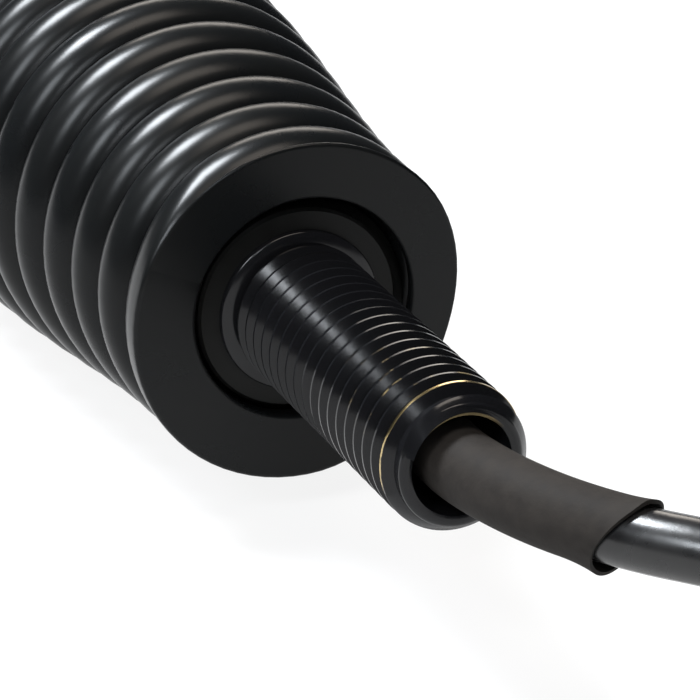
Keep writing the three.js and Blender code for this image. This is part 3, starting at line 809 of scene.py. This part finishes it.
gland_outline = [(lead_bore, GLAND_START)]
for i in range(GLAND_LENGTH // GLAND_RIB):
    foot = GLAND_START + GLAND_RIB * i
    gland_outline += [(stud_fill, foot), (stud_fill, foot + GLAND_LAND)]
    gland_outline += [(stud_fill - GROOVE_DEPTH, foot + end) for end in GLAND_GROOVE]
gland_end = GLAND_START + GLAND_LENGTH
gland_outline += [(stud_fill, gland_end), (lead_bore, gland_end)]
turned_node("lead_gland", gland_outline, "base", "rubber", rubber, rounding=0.08, segments=64)

# ---- Whip socket -------------------------------------------------------------
# The upper ferrule goes on into a neck with two spanner flats and an M10 thread for
# the whip. A nylon insulator inside it holds a sprung brass contact, and a rubber
# ring sunk in the mouth seals against the whip's shoulder.
NECK_RADIUS = 9
NECK_LENGTH = 22
NECK_EDGE = 1
NECK_FOOT_EDGE = 0.15
FLATS_ACROSS = 15.5
FLATS_LENGTH = 9
FLATS_INSET = 4
FLATS_STEP = 0.02  # between the flats' ends and the round neck
WHIP_BORE = 4.25
WHIP_THREAD_OUTER = 4.95
WHIP_THREAD_SINK = 0.1
WHIP_PITCH = 1.5
INSULATOR_RADIUS = 5.2
INSULATOR_SHOULDER = 17.8
INSULATOR_LENGTH = 14.7
NOSE_RADIUS = 3.9
NOSE_LENGTH = 4.3
NOSE_FLOOR = 3
CAVITY_RADIUS = 2.8
CAVITY_DEPTH = 12
PLUNGER_RADIUS = 1.5
PLUNGER_COLLAR = 2.4
COLLAR_LENGTH = 2
PLUNGER_REACH = 3
PLUNGER_TRAVEL = 1.5
TERMINAL_LENGTH = 1.7
TERMINAL_STEP = (0.5, 0.6)  # width and length of the step at its top
SEAL_GROOVE = 1.6
SEAL_RADIUS = 5.65
SEAL_THICKNESS = 0.75
CONTACT_WIRE = 0.28
CONTACT_TURNS = 6
CONTACT_TURN_STEPS = 32

mouth = SPRING_LENGTH + NECK_LENGTH
inner_face = SPRING_LENGTH - FERRULE_DEPTH
seat_end = SPRING_LENGTH - SEAT_START
shoulder = mouth - INSULATOR_SHOULDER
nose_end = shoulder + NOSE_LENGTH
cavity_top = nose_end - NOSE_FLOOR
cavity_foot = cavity_top - CAVITY_DEPTH
flats_end = mouth - FLATS_INSET
flats_foot = flats_end - FLATS_LENGTH


def neck_shape(bm):
    """Presses the wire's seat, mills the spanner flats and adds the whip's thread."""
    seat_for_wire(bm)
    for vert in bm.verts:
        outside = math.hypot(vert.co.x, vert.co.z) > FLATS_ACROSS / 2
        if outside and flats_foot < vert.co.y < flats_end:
            vert.co.z = min(max(vert.co.z, -FLATS_ACROSS / 2), FLATS_ACROSS / 2)
    root = WHIP_THREAD_OUTER + WHIP_THREAD_SINK
    thread_ridge(bm, root, WHIP_BORE, WHIP_PITCH, shoulder + 5, mouth - SEAL_GROOVE - 1)


turned_node("top_ferrule", [
    (INSULATOR_RADIUS + GAP, inner_face),
    *rows(FERRULE_RADIUS, inner_face, seat_end),
    (DISC_RADIUS, seat_end + SEAT_SLOPE),
    (DISC_RADIUS, SPRING_LENGTH + GAP),
    (NECK_RADIUS - NECK_FOOT_EDGE, SPRING_LENGTH + GAP),
    (NECK_RADIUS, SPRING_LENGTH + GAP + NECK_FOOT_EDGE),
    (NECK_RADIUS, flats_foot - FLATS_STEP),
    *rows(NECK_RADIUS, flats_foot + FLATS_STEP, flats_end - FLATS_STEP, 1.5),
    (NECK_RADIUS, flats_end + FLATS_STEP),
    (NECK_RADIUS, mouth - NECK_EDGE),
    (NECK_RADIUS - 0.3 * NECK_EDGE, mouth - 0.3 * NECK_EDGE),
    (NECK_RADIUS - NECK_EDGE, mouth),
    (SEAL_RADIUS + SEAL_THICKNESS + GAP / 2, mouth),
    (SEAL_RADIUS + SEAL_THICKNESS + GAP / 2, mouth - SEAL_GROOVE),
    (WHIP_THREAD_OUTER + WHIP_THREAD_SINK, mouth - SEAL_GROOVE),
    (WHIP_THREAD_OUTER, mouth - SEAL_GROOVE - WHIP_THREAD_SINK),
    (WHIP_THREAD_OUTER, shoulder + GAP),
    (INSULATOR_RADIUS + GAP, shoulder + GAP),
], "head", "ferrule_steel", blacked, rounding=0, segments=160, shape=neck_shape, sharp=30)

nylon = Finish("natural_nylon", Base_Color=(0.72, 0.68, 0.57), Roughness=0.42)
turned_node("socket_insulator", [
    (CAVITY_RADIUS, shoulder - INSULATOR_LENGTH),
    (INSULATOR_RADIUS, shoulder - INSULATOR_LENGTH),
    (INSULATOR_RADIUS, shoulder),
    (NOSE_RADIUS, shoulder),
    (NOSE_RADIUS, nose_end),
    (PLUNGER_RADIUS + GAP, nose_end),
    (PLUNGER_RADIUS + GAP, cavity_top),
    (CAVITY_RADIUS, cavity_top),
], "head", "nylon", nylon, rounding=0.3)

collar_top = cavity_top - GAP
collar_foot = collar_top - COLLAR_LENGTH
plunger_top = nose_end + PLUNGER_REACH
turned_node("contact_plunger", [
    (0, collar_foot),
    (PLUNGER_COLLAR, collar_foot),
    (PLUNGER_COLLAR, collar_top),
    (PLUNGER_RADIUS, collar_top),
    (PLUNGER_RADIUS, plunger_top - 1),
    (PLUNGER_RADIUS * 0.9, plunger_top - 0.5),
    (PLUNGER_RADIUS * 0.6, plunger_top - 0.14),
    (0, plunger_top),
], "contact", "brass", brass, rounding=0.12, segments=64)

terminal_top = cavity_foot + TERMINAL_LENGTH
terminal_radius = CAVITY_RADIUS - GAP
turned_node("contact_terminal", [
    (0, cavity_foot),
    (terminal_radius, cavity_foot),
    (terminal_radius, terminal_top - TERMINAL_STEP[1]),
    (terminal_radius - TERMINAL_STEP[0], terminal_top - TERMINAL_STEP[1]),
    (terminal_radius - TERMINAL_STEP[0], terminal_top),
    (0, terminal_top),
], "head", "brass", brass, rounding=0.1, segments=64)

seal_middle = mouth - SEAL_GROOVE + GAP / 2 + SEAL_THICKNESS
seal = turned("mouth_seal_ring", [
    (
        SEAL_RADIUS + SEAL_THICKNESS * math.cos(math.radians(15 * i)),
        seal_middle + SEAL_THICKNESS * math.sin(math.radians(15 * i)),
    )
    for i in range(24)
], "head", rounding=0)
dressed(seal, "mouth_seal", rubber)

contact_foot = terminal_top + GAP
contact_top = collar_foot - GAP
contact_climb = contact_top - contact_foot - 2 * CONTACT_WIRE
contact_bm = bmesh.new()
bmesh.ops.create_circle(contact_bm, segments=10, radius=CONTACT_WIRE, cap_ends=True)
quarter_turn = Matrix.Rotation(math.pi / 2, 3, "Y")
bmesh.ops.rotate(contact_bm, matrix=quarter_turn, verts=contact_bm.verts)
contact_start = (0, contact_foot + CONTACT_WIRE, PLUNGER_COLLAR - CONTACT_WIRE)
bmesh.ops.translate(contact_bm, vec=contact_start, verts=contact_bm.verts)
wound(contact_bm, CONTACT_TURNS, CONTACT_TURN_STEPS * CONTACT_TURNS, contact_climb)
bmesh.ops.translate(contact_bm, vec=BASE_PLACE, verts=contact_bm.verts)
contact_spring = finished("contact_spring_wire", contact_bm, "head")
(contact_foot - FACE_STATION) * MM
1 - PLUNGER_TRAVEL / (contact_top - contact_foot)
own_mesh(contact_spring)
steel = Finish("bright_steel", Metallic=1, Roughness=0.28)
steel.wear(Base_Color=steel.mixed(steel.noise(0.8, 3), (0.42, 0.42, 0.44), (0.6, 0.6, 0.62)))
dressed(contact_spring, "contact_spring", steel)

# ---- Bonding braid, lugs and inner lead --------------------------------------
# Inside the spring a flat copper braid joins the two ferrules. Its ends are soldered
# to lugs held by screws, and the inner lead runs beside it to the contact.
SCREW_RADIUS = 1.5
SCREW_HEAD = 2.2
SCREW_HEAD_HEIGHT = 1.6
SCREW_LENGTH = 4
SCREW_OFFSET = 6.4
LUG_THICKNESS = 0.8
LUG_WIDTH = 5
LUG_REACH = 9.4
LUG_TONGUE = 6.5
BRAID_THICKNESS = 1.2
BRAID_SWELL = 2.2
BRAID_WEAVE = 6  # radians of the weave's wave per millimetre
INNER_START = -46
INNER_SLACK = (-1.2, 0.6)  # how far it strays from the axis half-way
INNER_STRAIGHT = (6, 10)  # its straight lengths at the two ferrules
INNER_ROW = 1.5

copper = Finish("tinned_copper", Metallic=1)
copper_haze = copper.noise(0.7, 3)
copper.wear(
    Base_Color=copper.mixed(copper_haze, (0.5, 0.27, 0.15), (0.62, 0.45, 0.34)),
    Roughness=copper_haze * 0.2 + 0.3,
)


def thickened(piece, thickness, edge):
    """Gives a sheet its thickness, half to each side, and a soft edge."""
    thick = piece.modifiers.new("thickness", "SOLIDIFY")
    thick.thickness = thickness * MM
    thick.offset = 0
    soft = piece.modifiers.new("soft_edge", "BEVEL")
    soft.width = edge * MM
    soft.segments = 2


def screwed_lug(node, body, face, facing):
    """A ring lug on a ferrule's inner face, with its tongue turned up along the
    spring, and the screw that holds it."""
    bm = bmesh.new()
    plate = face + facing * (GAP + LUG_THICKNESS / 2)
    tongue = LUG_REACH - LUG_THICKNESS / 2
    corners = [(tongue, plate, LUG_WIDTH / 2), (tongue, plate, -LUG_WIDTH / 2)]
    for i in range(13):
        angle = math.radians(15 * i)
        corners.append((
            SCREW_OFFSET - LUG_WIDTH / 2 * math.sin(angle),
            plate,
            -LUG_WIDTH / 2 * math.cos(angle),
        ))
    verts = [bmesh.ops.create_vert(bm, co=co)["vert"][0] for co in corners]
    bm.faces.new(verts)
    extruded(bm, [bm.edges.get(verts[:2])], facing * (LUG_TONGUE - LUG_THICKNESS / 2))
    bmesh.ops.translate(bm, vec=BASE_PLACE, verts=bm.verts)
    lug = finished(node + "_plate", bm, body)
    thickened(lug, LUG_THICKNESS, 0.12)
    dressed(lug, node, copper)

    under = 2 * GAP + LUG_THICKNESS
    head = under + SCREW_HEAD_HEIGHT
    turned_node(node + "_screw", [
        (0, under - SCREW_LENGTH),
        (SCREW_RADIUS - 0.2, under - SCREW_LENGTH),
        (SCREW_RADIUS, under - SCREW_LENGTH + 0.3),
        (SCREW_RADIUS, under),
        (SCREW_HEAD, under),
        (SCREW_HEAD, head - 0.5),
        (SCREW_HEAD * 0.8, head - 0.12),
        (0, head),
    ], body, "steel", steel, rounding=0.1, segments=48,
        place=(SCREW_OFFSET, face - FACE_STATION, AXIS_HEIGHT), flip=facing < 0)


screwed_lug("base_lug", "base", FERRULE_DEPTH, 1)
screwed_lug("top_lug", "head", inner_face, -1)

braid_foot = FERRULE_DEPTH + 2 * GAP + LUG_TONGUE
braid_top = inner_face - 2 * GAP - LUG_TONGUE
middle_station = wire_station(SEAM_TURN)


def braid_half(name, start, end):
    """A tube that is flattened and bowed outwards."""
    bm = straight_tube(1, end - start, 32, round(end - start), capped=True)
    for vert in bm.verts:
        station = start + vert.co.y
        share = (station - braid_foot) / (braid_top - braid_foot)
        bow = 3 * BRAID_SWELL * share * (1 - share)
        thick, wide = (math.copysign(abs(c) ** 0.5, c) / 2 for c in (vert.co.x, vert.co.z))
        out = LUG_REACH + bow + BRAID_THICKNESS * (thick - 0.5)
        vert.co = (out, station - FACE_STATION, AXIS_HEIGHT + LUG_WIDTH * wide)
    piece = finished(name, bm)
    return piece


lower_braid = braid_half("bonding_braid_lower", braid_foot, middle_station)
upper_braid = braid_half("bonding_braid_upper", middle_station, braid_top)
flexible(lower_braid, upper_braid)
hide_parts("bonding_braid")

braided = Finish("copper_braid", Metallic=1, Roughness=0.4)
across, along, height = braided.axes()
strands = ((along + height) * BRAID_WEAVE).wave() * ((along - height) * BRAID_WEAVE).wave()
strand_tops = strands.rising(-0.6, 0.6)
braided.wear(Base_Color=braided.mixed(strand_tops, (0.28, 0.14, 0.08), (0.62, 0.36, 0.22)))
braided.raised(strands, 0.1)
braided.on(lower_braid, upper_braid)

inner_end = cavity_foot - GAP - FACE_STATION
inner_frames = route_frames([
    (0, INNER_START, AXIS_HEIGHT),
    (0, FERRULE_DEPTH + INNER_STRAIGHT[0] - FACE_STATION, AXIS_HEIGHT),
    (INNER_SLACK[0], middle_station - FACE_STATION, AXIS_HEIGHT + INNER_SLACK[1]),
    (0, inner_end - INNER_STRAIGHT[1], AXIS_HEIGHT),
    (0, inner_end, AXIS_HEIGHT),
])
inner_length = (len(inner_frames) - 1) * ROUTE_STEP
inner_middle = middle_station - FACE_STATION - INNER_START


def inner_lead_half(name, start, end):
    """A stretch of the lead along its route through the spring."""
    count = round((end - start) / INNER_ROW)
    bm = straight_tube(LEAD_RADIUS, end - start, 32, count, capped=True)
    bmesh.ops.translate(bm, vec=(0, start, 0), verts=bm.verts)
    bend_along(bm, inner_frames)
    piece = finished(name, bm)
    jacket.on(piece)
    return piece


lower_inner = inner_lead_half("inner_lead_lower", 0, inner_middle)
upper_inner = inner_lead_half("inner_lead_upper", inner_middle, inner_length)
flexible(lower_inner, upper_inner)
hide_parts("inner_lead")

# ---- Straps ------------------------------------------------------------------
# Two woven hook-and-loop straps hold the hank. Each goes once round it and closes on
# itself, so its end lies double on top.
STRAP_THICKNESS = 1
STRAP_WIDTH = 9
STRAP_OFFSETS = (4.5, -20.5)
STRAP_CORNER = 2.5
STRAP_EDGE = 0.25
STRAP_WEAVE = 7  # radians of the weave's wave per millimetre
STRAP_LAP = (-24, 6)  # across the top, from the hank's middle

off_hank = LEAD_RADIUS + GAP + STRAP_THICKNESS / 2
strap_side = hank_outer + off_hank
strap_top = HANK_FOOT + HANK_PITCH * (hank_layers - 1) + off_hank

webbing = Finish("woven_strap", Roughness=0.85)
across, along, height = webbing.axes()
weave = ((across + height) * STRAP_WEAVE).wave() * (along * STRAP_WEAVE).wave()
thread_tops = weave.rising(-0.6, 0.8)
webbing.wear(Base_Color=webbing.mixed(thread_tops, (0.008, 0.008, 0.009), (0.03, 0.03, 0.032)))
webbing.raised(weave, 0.1)
for number, offset in enumerate(STRAP_OFFSETS, 1):
    strap_bm = bmesh.new()
    low, high = STRAP_THICKNESS / 2, strap_top
    rounded_outline(strap_bm, [
        (-strap_side, 0, low),
        (strap_side, 0, low),
        (strap_side, 0, high),
        (-strap_side, 0, high),
    ], STRAP_CORNER, 8)
    lap_height = strap_top + STRAP_THICKNESS
    lap = [bmesh.ops.create_vert(strap_bm, co=(x, 0, lap_height))["vert"][0] for x in STRAP_LAP]
    strap_bm.edges.new(lap)
    extruded(strap_bm, strap_bm.edges[:], STRAP_WIDTH)
    place = (HANK_PLACE[0], HANK_PLACE[1] + offset - STRAP_WIDTH / 2, 0)
    bmesh.ops.translate(strap_bm, vec=place, verts=strap_bm.verts)
    strap = finished(f"coil_strap_{number}_woven", strap_bm, "base")
    thickened(strap, STRAP_THICKNESS, STRAP_EDGE)
    dressed(strap, f"coil_strap_{number}", webbing)

# ---- Plug --------------------------------------------------------------------
# Nickel-plated radio plug, soldered on the lead through a reducer and closed by a
# rubber relief. Its coupling ring spins on the body and screws on the radio's socket.
PLUG_PLACE = (36.6, -221, 37.875)
PLUG_FRONT = 39
BODY_RADIUS = 6.8
BODY_TUBE = 5.9
BODY_SHOULDER = 15
BODY_END = 28
TUBE_WALL = 0.8
TUBE_FLOOR = 16
RING_RADIUS = 9.3
RING_START = 19
RING_END = 38
RING_BORE = 7.9
RING_LIP = 3.5
RING_PITCH = 1.06
RING_KNURL_DEPTH = 0.28
KNURL_DEPTH = 0.2
PIN_RADIUS = 2
PIN_FOOT = 11
REDUCER_RADIUS = 5
REDUCER_NECK = 4.2
REDUCER_FLANGE = 3
REDUCER_LENGTH = 12
RELIEF_LENGTH = 18
RELIEF_WALL = (0.7, 1.6)
RELIEF_RIBS = 6
RELIEF_LAND = 1.8
RELIEF_GROOVE = (2, 2.8)
RELIEF_GROOVE_DEPTH = 0.4


def plug_piece(node, corners, slot, finish, body="base", **turning):
    """A turned piece whose stations run from the lead to the plug's front."""
    turning.update(place=PLUG_PLACE, flip=True)
    return turned_node(node, corners, body, slot, finish, **turning)


def band(radius, start, end):
    """Corners of a band that can be knurled."""
    return [(radius, start), (radius, start + 0.2), (radius, end - 0.2), (radius, end)]


def knurl(bm, over, start, end, depth, ridges):
    """Cuts straight grooves in a band, in its vertices beyond a radius."""
    for vert in bm.verts:
        radius = math.hypot(vert.co.x, vert.co.z)
        if start + 0.1 < vert.co.y < end - 0.1 and radius > over:
            turn = math.atan2(vert.co.x, vert.co.z) / (2 * math.pi)
            scale = 1 - depth * (math.floor(turn * 2 * ridges + 0.25) % 2) / radius
            vert.co.x *= scale
            vert.co.z *= scale


nickel = Finish("nickel_plate", Metallic=1)
dulled = nickel.noise(0.4, 4)
nickel.wear(
    Base_Color=nickel.mixed(dulled, (0.5, 0.48, 0.44), (0.66, 0.64, 0.6)),
    Roughness=dulled * 0.2 + 0.16,
)

relief_outline = [(lead_bore, -RELIEF_LENGTH)]
for i in range(RELIEF_RIBS):
    foot = -RELIEF_LENGTH + RELIEF_LENGTH / RELIEF_RIBS * i
    rib = lead_bore + RELIEF_WALL[0] + (RELIEF_WALL[1] - RELIEF_WALL[0]) * i / (RELIEF_RIBS - 1)
    relief_outline += [(rib, foot), (rib, foot + RELIEF_LAND)]
    if i < RELIEF_RIBS - 1:
        relief_outline += [(rib - RELIEF_GROOVE_DEPTH, foot + end) for end in RELIEF_GROOVE]
relief_outline += [(lead_bore + RELIEF_WALL[1], -GAP), (lead_bore, -GAP)]
relief = plug_piece("plug_relief", relief_outline, "rubber", rubber, rounding=0.12)

reducer = plug_piece("plug_reducer", [
    (lead_bore, 0),
    (REDUCER_RADIUS - 0.15, 0),
    *band(REDUCER_RADIUS, 0.15, REDUCER_FLANGE),
    (REDUCER_NECK, REDUCER_FLANGE),
    (REDUCER_NECK, REDUCER_LENGTH),
    (lead_bore, REDUCER_LENGTH),
], "nickel", nickel, rounding=0, segments=120,
    shape=lambda bm: knurl(bm, REDUCER_NECK + GAP, 0.15, REDUCER_FLANGE, KNURL_DEPTH, 30))

body_band = (REDUCER_FLANGE + 1.3, BODY_SHOULDER - 1.5)
plug_body = plug_piece("plug_body", [
    (REDUCER_NECK + GAP, REDUCER_FLANGE + GAP),
    (BODY_RADIUS - 0.2, REDUCER_FLANGE + GAP),
    (BODY_RADIUS, REDUCER_FLANGE + GAP + 0.2),
    *band(BODY_RADIUS, *body_band),
    (BODY_RADIUS, BODY_SHOULDER - 0.9),
    (BODY_TUBE, BODY_SHOULDER),
    (BODY_TUBE, BODY_END - 0.2),
    (BODY_TUBE - 0.2, BODY_END),
    (BODY_TUBE - TUBE_WALL, BODY_END),
    (BODY_TUBE - TUBE_WALL, TUBE_FLOOR),
    (REDUCER_NECK + GAP, TUBE_FLOOR),
], "nickel", nickel, rounding=0, segments=144,
    shape=lambda bm: knurl(bm, BODY_TUBE + GAP, *body_band, KNURL_DEPTH, 36))

plug_insulator = plug_piece("plug_insulator", [
    (PIN_RADIUS + GAP, TUBE_FLOOR + GAP),
    (BODY_TUBE - TUBE_WALL - GAP, TUBE_FLOOR + GAP),
    (BODY_TUBE - TUBE_WALL - GAP, BODY_END - 0.5),
    (PIN_RADIUS + GAP, BODY_END - 0.5),
], "nylon", nylon, rounding=0.2)

pin = plug_piece("plug_pin", [
    (0, PIN_FOOT),
    (PIN_RADIUS, PIN_FOOT),
    (PIN_RADIUS, PLUG_FRONT - 1.6),
    (PIN_RADIUS * 0.9, PLUG_FRONT - 0.7),
    (PIN_RADIUS * 0.6, PLUG_FRONT),
    (0, PLUG_FRONT - 0.3),
], "nickel", nickel, rounding=0.1, segments=64)


ring_band = (RING_START + 2, RING_END - 4)


def ring_shape(bm):
    """Knurls the coupling ring and adds the thread inside it."""
    knurl(bm, RING_BORE + 0.6, *ring_band, RING_KNURL_DEPTH, 48)
    root, crest = RING_BORE + 0.05, RING_BORE - 0.5
    thread_ridge(bm, root, crest, RING_PITCH, RING_START + RING_LIP + 2, RING_END - 1)


coupling_ring = plug_piece("coupling_ring", [
    (BODY_TUBE + GAP, RING_START),
    (RING_RADIUS - 0.6, RING_START),
    (RING_RADIUS, RING_START + 0.6),
    *band(RING_RADIUS, *ring_band),
    (RING_RADIUS, RING_END - 0.6),
    (RING_RADIUS - 0.6, RING_END),
    (RING_BORE + 0.2, RING_END),
    (RING_BORE, RING_END - 0.2),
    (RING_BORE, RING_START + RING_LIP),
    (BODY_TUBE + GAP, RING_START + RING_LIP),
], "nickel", nickel, "coupling", rounding=0, segments=192, shape=ring_shape)

# ---- Studio ------------------------------------------------------------------
# A white sheet under the base, which the camera and reflections see nearly white.
# A large soft light stands at the upper left, behind the base, with weaker fills.
SHEET_GLOW = 0.88  # how far the seen sheet is white of itself
SHEET_SIZE = 1.4
WORLD_LIGHT = 0.06
bpy.ops.mesh.primitive_plane_add(size=SHEET_SIZE, location=(0, 0, 0))
floor = bpy.context.object
floor.name = "floor"
sheet = Finish("white_sheet", Base_Color=(0.82, 0.82, 0.82), Roughness=0.9)
seen = sheet.node("ShaderNodeLightPath", output="Is Camera Ray")
for kind in ("Is Glossy Ray", "Is Transmission Ray"):
    seen = seen + sheet.node("ShaderNodeLightPath", output=kind)
lit = Tap(sheet, sheet.surface.outputs[0])
glow = sheet.node("ShaderNodeEmission")
shown = sheet.node("ShaderNodeMixShader", values={0: seen * SHEET_GLOW, 1: lit, 2: glow})
sheet.plug(sheet.tree.nodes["Material Output"].inputs["Surface"], shown)
sheet.on(floor)

world = bpy.data.worlds.new("studio")
world.use_nodes = True
sky = world.node_tree.nodes["Background"]
sky.inputs["Color"].default_value = (0.75, 0.85, 1, 1)
sky.inputs["Strength"].default_value = WORLD_LIGHT
bpy.context.scene.world = world


def soft_light(name, place, size, power, colour):
    """An area light that faces the base."""
    light = bpy.data.lights.new(name, "AREA")
    light.shape = "RECTANGLE"
    light.size, light.size_y = size
    light.energy = power
    light.color = colour
    lamp = link(name, light)
    lamp.location = place
    lamp.rotation_euler = (-lamp.location).to_track_quat("-Z", "Y").to_euler()


soft_light("key", (-0.27, 0.29, 0.73), (0.3, 0.3), 24, (0.9, 0.95, 1))
soft_light("overhead", (0.08, -0.3, 0.78), (0.45, 0.36), 3.5, (1, 0.9, 0.8))
soft_light("front", (-0.5, -0.36, 0.56), (0.22, 0.22), 4, (0.88, 0.94, 1))
soft_light("low_front", (-0.17, -0.75, 0.43), (0.12, 0.12), 1.2, (0.9, 0.95, 1))
soft_light("back", (0.3, 0.75, 0.4), (0.5, 0.3), 2, (1, 0.93, 0.85))
